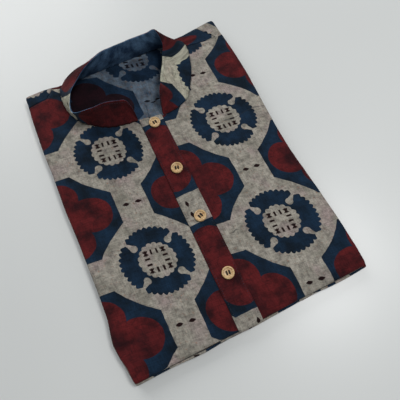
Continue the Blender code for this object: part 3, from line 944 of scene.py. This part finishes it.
def makeCollar():
    # outer face up, over the folded top edge and down the lining
    base = through([row[:3] for row in collar["stations"]], collar["steps"])
    top = through([row[3:] for row in collar["stations"]], collar["steps"])
    reach = [0.0]
    for before, after in zip(base, base[1:]):
        reach.append(reach[-1] + (after - before).length)
    half = collar["wall"] / 2
    rows = collar["rows"]
    verts, across, along, faces, kinds = [], [], [], [], []
    topLine = []
    for i, s in enumerate(reach):
        end = min(s / collar["endRounds"][0], (reach[-1] - s) / collar["endRounds"][1])
        share = max(math.sqrt(1 - (1 - min(end, 1)) ** 2), collar["endShare"])
        foot = base[i] + Vector((0, 0, collar["lift"]))
        rise = (top[i] - base[i]) * share
        ahead = base[min(i + 1, len(base) - 1)] - base[max(i - 1, 0)]
        outward = rise.cross(ahead).normalized()
        up = rise.normalized()
        swell = readOff(collar["swell"], s)
        onStrip = s * collar["stripLength"] / reach[-1]
        column, row = collarStrip(onStrip)
        skew = readOff(collar["skew"], onStrip)

        def place(level):
            belly = (collar["belly"] - swell) * math.sin(math.pi * level) * share
            pucker = collar["pucker"] * math.sin(s * math.tau / collar["puckerGap"]) * (1 - level) ** 3
            wave = collar["wave"] * math.sin(s / collar["waveGap"] + 1) * level
            return foot + rise * level - outward * (belly - pucker - wave)

        ring = [(place(k / rows) + outward * half, k / rows) for k in range(rows + 1)]
        for k in range(1, collar["topSteps"]):
            angle = math.pi * k / collar["topSteps"]
            ring.append((place(1) + outward * half * math.cos(angle) + up * half * math.sin(angle), 1))
        ring += [(place(k / rows) - outward * half, k / rows) for k in range(rows, -1, -1)]
        stitchLevel = 1 - collar["stitchDown"] / max(rise.length, 2 * collar["stitchDown"])
        if end > collar["endShare"]:
            topLine.append((place(stitchLevel) + outward * (half + 0.1), outward.copy()))
        for point, level in ring:
            verts.append(point)
            across.append(column + level * skew)
            along.append(row + level * collar["bandHeight"])
    size = rows * 2 + 1 + collar["topSteps"]
    for i in range(len(reach) - 1):
        for k in range(size):
            following = (k + 1) % size
            faces.append((i * size + k, (i + 1) * size + k, (i + 1) * size + following, i * size + following))
            kinds.append(0 if k < rows + collar["topSteps"] // 2 else 1)
    for first in (0, (len(reach) - 1) * size):
        faces.append(tuple(range(first, first + size)))
        kinds.append(0)
    middle = Vector((0, -centreAlong, garment["stack"]))
    piece = makePiece("collarBand", [(v + middle) * mm for v in verts], faces, [collarCotton, collarLining])
    piece.data.polygons.foreach_set("material_index", kinds)
    faceOut(piece.data)
    addMap(piece.data, np.array(across), np.array(along))
    piece.data.shade_smooth()
    return piece, [((p + middle) * mm, n) for p, n in topLine], reach[-1]


collarBand, collarStitchLine, collarLength = makeCollar()
print("collar band made, length", round(collarLength, 1))


layers = {
    "count": 3, "crease": 2.8, "step": 3.2, "ringsEach": 8, "inset": 1.5, "gap": 0.03, "open": 0.6,
    # how unevenly the edges lie: size, waves round the stack, more waves for each layer
    "uneven": [(0.5, 9, 3, 1), (0.35, 23, 0, 2)],
    "corner": (-134.0, 16.0, 6.0, 9.0, 1.5),            # where one pokes out, its reach, how far
    "printSlope": 1.3, "underSpacing": 6.0, "wall": 0.6, "cut": (0.305, 0.40),
    "shift": [(0, 0), (-0.5, 0.4), (0.4, -0.4)],        # how each layer lies askew
    "slip": [(31, 47), (88, 12), (14, 101)],            # the print differs from layer to layer
}


def roundedLoop(step):
    # points round the folded block
    radius = garment["foldRadius"]
    loop = []
    for sx, sy in ((-1, -1), (1, -1), (1, 1), (-1, 1)):
        cx = sx * flatHalf
        cy = radius if sy < 0 else shoulderEnd(cx) - radius
        middle = math.atan2(sy, sx)
        for k in range(5):
            angle = middle - math.pi / 4 + math.pi / 2 * k / 4
            loop.append((cx + radius * math.cos(angle), cy + radius * math.sin(angle)))
    return spread(loop, step)


def makeLayers():
    loop = np.array(roundedLoop(layers["step"]))
    ahead, behind = np.roll(loop, -1, 0), np.roll(loop, 1, 0)
    tangent = ahead - behind
    outward = np.stack([tangent[:, 1], -tangent[:, 0]], 1) / np.hypot(*tangent.T)[:, None]
    height = layersHeight / mm
    each = height / layers["count"]
    verts, across, along, faces = [], [], [], []
    angle = np.arctan2(loop[:, 1] - centreAlong, loop[:, 0])
    cornerX, cornerY, reachX, reachY, poke = layers["corner"]
    corner = np.exp(-(((loop[:, 0] - cornerX) / reachX) ** 2 + ((loop[:, 1] - cornerY) / reachY) ** 2))
    for layer in range(layers["count"]):
        dx, dy = layers["shift"][layer]
        slipX, slipY = layers["slip"][layer]
        for k in range(layers["ringsEach"]):
            t = k / (layers["ringsEach"] - 1) * (1 - 2 * layers["gap"]) + (layers["gap"] if layer else 0.0)
            z = (layer + t) * each
            bulge = math.sqrt(max(1 - (2 * t - 1) ** 2, 0))
            uneven = sum(size * np.sin(angle * (waves + more * layer) + start * layer)
                         for size, waves, more, start in layers["uneven"])
            inset = layers["crease"] * (1 - bulge) + uneven * bulge - corner * poke * bulge * (layer > 0)
            if layer == 0 and k == 0:
                inset = inset - layers["open"]
            place = loop - outward * (inset + layers["inset"])[:, None] + np.array([dx, dy])
            place[:, 0] += withSides(loop[:, 0], loop[:, 1])
            place[:, 1] += withEnds(loop[:, 0], loop[:, 1])
            verts += [(x, y, z) for x, y in place]
            printed = loop + outward * (height - z) * layers["printSlope"]
            column, row = frontBlock(printed[:, 0] + slipX, printed[:, 1] + slipY)
            across += list(column)
            along += list(row)
    count = len(loop)
    rings = layers["count"] * layers["ringsEach"]
    for ring in range(rings - 1):
        for k in range(count):
            following = (k + 1) % count
            faces.append((ring * count + k, ring * count + following,
                          (ring + 1) * count + following, (ring + 1) * count + k))
    bottom, bottomFaces = cutCloth([tuple(v[:2]) for v in verts[:count]], layers["underSpacing"])
    first = len(verts)
    verts += [(x, y, 0.0) for x, y in bottom]
    column, row = frontBlock(bottom[:, 0] + layers["slip"][0][0], bottom[:, 1] + layers["slip"][0][1])
    across += list(column)
    along += list(row)
    faces += [tuple(first + i for i in reversed(face)) for face in bottomFaces]
    metres = [(x * mm, (y - centreAlong) * mm, z * mm) for x, y, z in verts]
    piece = makePiece("foldedLayers", metres, faces, [printedCotton])
    addMap(piece.data, np.array(across), np.array(along))
    faceOut(piece.data, merge=True)
    piece.data.shade_smooth()
    addWall(piece, layers["wall"])
    return piece


foldedLayers = makeLayers()
print("folded layers made")


buttons = {
    "radius": 7.0, "thickness": 2.6, "dish": 4.7, "dishDepth": 1.0, "hole": 1.0, "spacing": 3.0,
    "turns": 64, "lift": 0.25, "sharp": 40,
    # the sewing: two strands over each pair of holes, bowed up and sunk into them
    "threadHalf": 0.58, "strand": 0.33, "bow": 0.75, "sink": 5.4, "sinkFrom": 0.82, "reach": 1.12,
    "fan": 0.3, "threadSteps": 12, "threadSides": 8,
    "turned": {"button_1": 8, "button_2": -14, "button_3": 20, "button_4": -6},
}


def makeButtonBlank():
    r, t, d = buttons["radius"], buttons["thickness"], buttons["dish"]
    floor = t - buttons["dishDepth"]
    profile = [(0, 0), (r - 0.9, 0), (r - 0.3, 0.15), (r - 0.05, 0.6), (r, t * 0.5), (r - 0.1, t - 0.7),
               (r - 0.45, t - 0.18), (r - 1.0, t), (d + 0.8, t - 0.05), (d + 0.35, t - 0.3),
               (d, floor + 0.12), (d - 0.5, floor), (0, floor - 0.05)]
    work = bmesh.new()
    line = [work.verts.new((x * mm, 0, z * mm)) for x, z in profile]
    edges = [work.edges.new(pair) for pair in zip(line, line[1:])]
    bmesh.ops.spin(work, geom=line + edges, cent=(0, 0, 0), axis=(0, 0, 1), angle=math.tau,
                   steps=buttons["turns"], use_merge=True)
    mesh = finished(work, "buttonBlank")
    faceOut(mesh, merge=True)
    blank = show("buttonBlank", mesh)
    cutters = []
    for sx in (-1, 1):
        for sy in (-1, 1):
            place = Vector((sx * buttons["spacing"], sy * buttons["spacing"], t)) / 2 * mm
            bpy.ops.mesh.primitive_cylinder_add(vertices=20, radius=buttons["hole"] * mm,
                                                depth=t * 2 * mm, location=place)
            cutters.append(bpy.context.active_object)
            hole = blank.modifiers.new("hole", "BOOLEAN")
            hole.solver = "EXACT"
            hole.object = cutters[-1]
    bored = evaluated(blank)
    for thing in cutters + [blank]:
        bpy.data.objects.remove(thing, do_unlink=True)
    return bored


def threadMesh(name, centre, turned):
    work = bmesh.new()
    half, holeAt = buttons["threadHalf"], buttons["spacing"] / 2
    steps, sides = buttons["threadSteps"], buttons["threadSides"]
    for side in (-1, 1):
        for strand in (-buttons["strand"], buttons["strand"]):
            rings = []
            for k in range(steps + 1):
                u = k / steps * 2 - 1
                sink = buttons["sink"] * max(abs(u) - buttons["sinkFrom"], 0)
                z = buttons["thickness"] - buttons["dishDepth"] + buttons["bow"] * (1 - abs(u) ** 5) - sink
                x = side * holeAt + strand * (1 + buttons["fan"] * u)
                turns = [math.tau * j / sides for j in range(sides)]
                rings.append([work.verts.new(Vector((x + half * math.cos(turn), u * holeAt * buttons["reach"],
                                                     z + half * math.sin(turn))) * mm) for turn in turns])
            for one, two in zip(rings, rings[1:]):
                for j in range(sides):
                    work.faces.new((one[j], one[j - 1], two[j - 1], two[j]))
            work.faces.new(rings[0])
            work.faces.new(rings[-1])
    bmesh.ops.recalc_face_normals(work, faces=work.faces)
    turnAndPlace(work, centre, turned)
    return finished(work, name)


def turnAndPlace(work, centre, turned):
    place = Matrix.Translation(centre) @ Matrix.Rotation(math.radians(turned), 4, "Z")
    bmesh.ops.transform(work, matrix=place, verts=work.verts)


def placeButtons():
    bored = makeButtonBlank()
    pairs = []
    for name, turned in buttons["turned"].items():
        low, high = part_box(name)
        centre = Vector(((low.x + high.x) / 2, (low.y + high.y) / 2, low.z + buttons["lift"] * mm))
        work = bmesh.new()
        work.from_mesh(bored)
        turnAndPlace(work, centre, turned)
        mesh = finished(work, name)
        mesh.shade_smooth()
        mesh.set_sharp_from_angle(angle=math.radians(buttons["sharp"]))
        mesh.materials.append(buttonWood)
        label = name.replace("button_", "")
        threads = threadMesh("buttonThread" + label, centre, turned)
        threads.shade_smooth()
        threads.materials.append(buttonThread)
        pairs.append((name, show("woodButton" + label, mesh), show("buttonThread" + label, threads)))
    return pairs


buttonPairs = placeButtons()
print("buttons turned and sewn")

stitchInputs = {"Pitch": 2.9 * mm, "Length": 2.0 * mm, "Width": 0.34 * mm, "Unevenness": 0.18}
stitching = {
    "seed": 7, "segments": 6, "rings": 5, "lift": 0.06, "rowPoints": 120, "columnPoints": 60,
    "inset": 2.0, "placketLow": -1.0, "placketHigh": 3.4, "topDrop": 2.6, "topSlant": 1.8,
    "seamAway": 1.6, "leftShift": 1.4, "rightShift": -0.8,
}


def makeStitchTree():
    tree = bpy.data.node_groups.new("stitchRow", "GeometryNodeTree")
    face = tree.interface
    face.new_socket("Geometry", in_out="INPUT", socket_type="NodeSocketGeometry")
    for label, value in stitchInputs.items():
        face.new_socket(label, in_out="INPUT", socket_type="NodeSocketFloat").default_value = value
    face.new_socket("Thread", in_out="INPUT", socket_type="NodeSocketMaterial")
    face.new_socket("Geometry", in_out="OUTPUT", socket_type="NodeSocketGeometry")

    def node(kind, **links):
        made = tree.nodes.new(kind)
        for label, socket in links.items():
            tree.links.new(socket, made.inputs[label])
        return made

    given = tree.nodes.new("NodeGroupInput")
    curve = node("GeometryNodeMeshToCurve", Mesh=given.outputs["Geometry"])
    rows = node("GeometryNodeResampleCurve", Curve=curve.outputs["Curve"])
    rows.mode = "LENGTH"
    tree.links.new(given.outputs["Pitch"], rows.inputs["Length"])
    lie = tree.nodes.new("GeometryNodeInputNamedAttribute")
    lie.data_type = "FLOAT_VECTOR"
    lie.inputs["Name"].default_value = "lie"
    turn = tree.nodes.new("FunctionNodeAxesToRotation")
    turn.primary_axis, turn.secondary_axis = "Z", "X"
    tree.links.new(lie.outputs["Attribute"], turn.inputs[0])
    tree.links.new(tree.nodes.new("GeometryNodeInputTangent").outputs[0], turn.inputs[1])
    ball = tree.nodes.new("GeometryNodeMeshUVSphere")
    ball.inputs["Segments"].default_value = stitching["segments"]
    ball.inputs["Rings"].default_value = stitching["rings"]
    ball.inputs["Radius"].default_value = 0.5
    size = node("ShaderNodeCombineXYZ", X=given.outputs["Length"],
                Y=given.outputs["Width"], Z=given.outputs["Width"])
    stitch = node("GeometryNodeTransform", Geometry=ball.outputs["Mesh"], Scale=size.outputs[0])
    smallest = tree.nodes.new("ShaderNodeMath")
    smallest.operation = "SUBTRACT"
    smallest.inputs[0].default_value = 1.0
    tree.links.new(given.outputs["Unevenness"], smallest.inputs[1])
    uneven = tree.nodes.new("FunctionNodeRandomValue")
    uneven.inputs["Seed"].default_value = stitching["seed"]
    tree.links.new(smallest.outputs[0], uneven.inputs[2])
    uneven.inputs[3].default_value = 1.0
    placed = node("GeometryNodeInstanceOnPoints", Points=rows.outputs["Curve"],
                  Instance=stitch.outputs["Geometry"], Rotation=turn.outputs[0], Scale=uneven.outputs[1])
    real = node("GeometryNodeRealizeInstances", Geometry=placed.outputs["Instances"])
    dressed = node("GeometryNodeSetMaterial", Geometry=real.outputs["Geometry"],
                   Material=given.outputs["Thread"])
    result = tree.nodes.new("NodeGroupOutput")
    tree.links.new(dressed.outputs["Geometry"], result.inputs["Geometry"])
    return tree


def sewRows(name, rows, material, tree):
    # rows: lists of (place, outward direction) in metres
    verts, edges, lies = [], [], []
    for row in rows:
        first = len(verts)
        verts += [tuple(place) for place, _ in row]
        lies += [tuple(lie) for _, lie in row]
        edges += [(first + i, first + i + 1) for i in range(len(row) - 1)]
    mesh = bpy.data.meshes.new(name + "Guide")
    mesh.from_pydata(verts, edges, [])
    lie = mesh.attributes.new("lie", "FLOAT_VECTOR", "POINT")
    lie.data.foreach_set("vector", np.array(lies, np.float32).ravel())
    guide = show(name + "Guide", mesh)
    sewn = guide.modifiers.new("stitches", "NODES")
    sewn.node_group = tree
    for socket in tree.interface.items_tree:
        if socket.in_out == "INPUT" and socket.name in stitchInputs:
            sewn[socket.identifier] = stitchInputs[socket.name]
        elif socket.in_out == "INPUT" and socket.name == "Thread":
            sewn[socket.identifier] = material
    stitches = evaluated(guide)
    bpy.data.objects.remove(guide, do_unlink=True)
    stitches.materials.clear()
    stitches.materials.append(material)
    stitches.shade_smooth()
    return show(name, stitches)


def rowOnCloth(points, lift, toSides=True):
    at, given = np.linspace(0, 1, stitching["rowPoints"]), np.linspace(0, 1, len(points))
    x, y = [np.interp(at, given, values) for values in np.array(points, float).T]
    height = lift(x, y) + stitching["lift"]
    low, high = onStack(x, y, height), onStack(x, y, height + 1)
    shift = np.stack([withSides(x, y) * toSides, withEnds(x, y), 0 * x], 1) * mm
    return [(Vector(a), Vector(b - a).normalized()) for a, b in zip(low + shift, high + shift)]


def placketRows():
    rows = []
    half = placket["width"] / 2 - stitching["inset"]
    for side in (-1, 1):
        column = np.linspace(stitching["placketLow"], placket["top"] - stitching["placketHigh"],
                             stitching["columnPoints"])
        points = [(placketCentre(y) + side * half, y) for y in column]
        rows.append(rowOnCloth(points, placketLift, toSides=False))
    topY = placket["top"] - stitching["topDrop"]
    ends = [(placket["topX"] + side * half, topY - side * stitching["topSlant"]) for side in (-1, 1)]
    rows.append(rowOnCloth(ends, placketLift, toSides=False))
    return rows


def seamRows():
    away = stitching["seamAway"]
    left = [(x + stitching["leftShift"], y - away) for x, y in seams["armholeLeft"]]
    right = [(x + stitching["rightShift"], y - away) for x, y in seams["armholeRight"][1:]]
    yoke = [(x, y + away) for x, y in seams["yokeRight"]]
    return [rowOnCloth(left, frontLift), rowOnCloth(right, frontLift), rowOnCloth(yoke, capLift)]


stitchTree = makeStitchTree()
placketStitches = sewRows("placketStitches", placketRows(), seamThread, stitchTree)
collarStitches = sewRows("collarStitches", [collarStitchLine], seamThread, stitchTree)
seamStitches = sewRows("seamStitches", seamRows(), seamThread, stitchTree)
print("stitches sewn")

sheets = [
    # piece, CAD node, slot, cut outline, what it rests on
    (frontPanel, "front_panel", "printed_cotton", frontCut, ["backInside", "foldedLayers"]),
    (yokePiece, "yoke", "printed_cotton", yokeCut, ["foldedLayers"]),
    (sleeveLeft, "sleeve_left", "printed_cotton", sleeveLeftCut, ["foldedLayers"]),
    (sleeveRight, "sleeve_right", "printed_cotton", sleeveRightCut, ["foldedLayers"]),
    (placketStrip, "placket", "placket_cotton", placketCut, ["frontPanel"]),
    (underStrip, "under_placket", "placket_cotton", underCut, ["backInside"]),
    (backInside, "back_panel", "cotton_wrong_side", insideCut, ["foldedLayers"]),
]


def declare(piece, node=None):
    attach(piece, "root")
    if node:
        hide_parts(node)


for piece, node, slot, outline, support in sheets:
    declare(piece, node)
    cutArea(outline)
declare(collarBand, "collar_band")
collarLength * mm
declare(foldedLayers, "folded_layers")
for name, button, thread in buttonPairs:
    declare(button, name)
    declare(thread)
declare(placketStitches)
declare(collarStitches)
declare(seamStitches)

stage = {
    "size": 3.0, "colour": tone(218, 220, 218), "shade": tone(208, 210, 208), "cloudScale": 3.0,
    "surface": {"Roughness": 0.34, "Specular IOR Level": 0.65},
    "world": {"Color": tone(228, 232, 236), "Strength": 0.37},
    # direction from the garment, distance, size, power
    "lamps": [((0.37, -0.09, 0.95), 1.5, 0.4, 9.5), ((-0.2, 0.86, 0.46), 2.2, 1.8, 26.0)],
}


def setStage():
    bpy.ops.mesh.primitive_plane_add(size=stage["size"], location=(0, 0, 0))
    floor = bpy.context.active_object
    floor.name = "floor"
    material, tree, shader = newMaterial("paleTable", stage["surface"])
    cloud = noise(tree, tree.nodes.new("ShaderNodeTexCoord").outputs["Object"], stage["cloudScale"])
    tinted = mixColour(tree, Wire(tree, cloud.outputs["Fac"]), stage["shade"], stage["colour"])
    tree.links.new(tinted, shader.inputs["Base Color"])
    floor.data.materials.append(material)
    for i, (direction, distance, size, power) in enumerate(stage["lamps"]):
        lamp = bpy.data.lights.new("softLamp%d" % i, "AREA")
        lamp.shape = "DISK"
        lamp.size = size
        lamp.energy = power
        thing = show(lamp.name, lamp)
        thing.location = Vector(direction).normalized() * distance
        thing.rotation_euler = (-Vector(direction)).to_track_quat("-Z", "Y").to_euler()
    world = bpy.data.worlds.new("paleRoom")
    world.use_nodes = True
    for label, value in stage["world"].items():
        world.node_tree.nodes["Background"].inputs[label].default_value = value
    bpy.context.scene.world = world
    bpy.context.scene.view_settings.view_transform = "Standard"


view = {
    "lens": 34.65, "sensor": 36, "nearest": 0.01,
    "place": (-0.0553, -0.1658, 0.4316), "tilt": 18.773, "heading": -25.806,
}


def setCamera():
    camera = bpy.data.cameras.new("camera")
    camera.lens = view["lens"]
    camera.sensor_width = view["sensor"]
    camera.clip_start = view["nearest"]
    thing = show("camera", camera)
    thing.location = view["place"]
    thing.rotation_euler = (math.radians(view["tilt"]), 0, math.radians(view["heading"]))
    bpy.context.scene.camera = thing


setStage()
setCamera()
print("stage set")
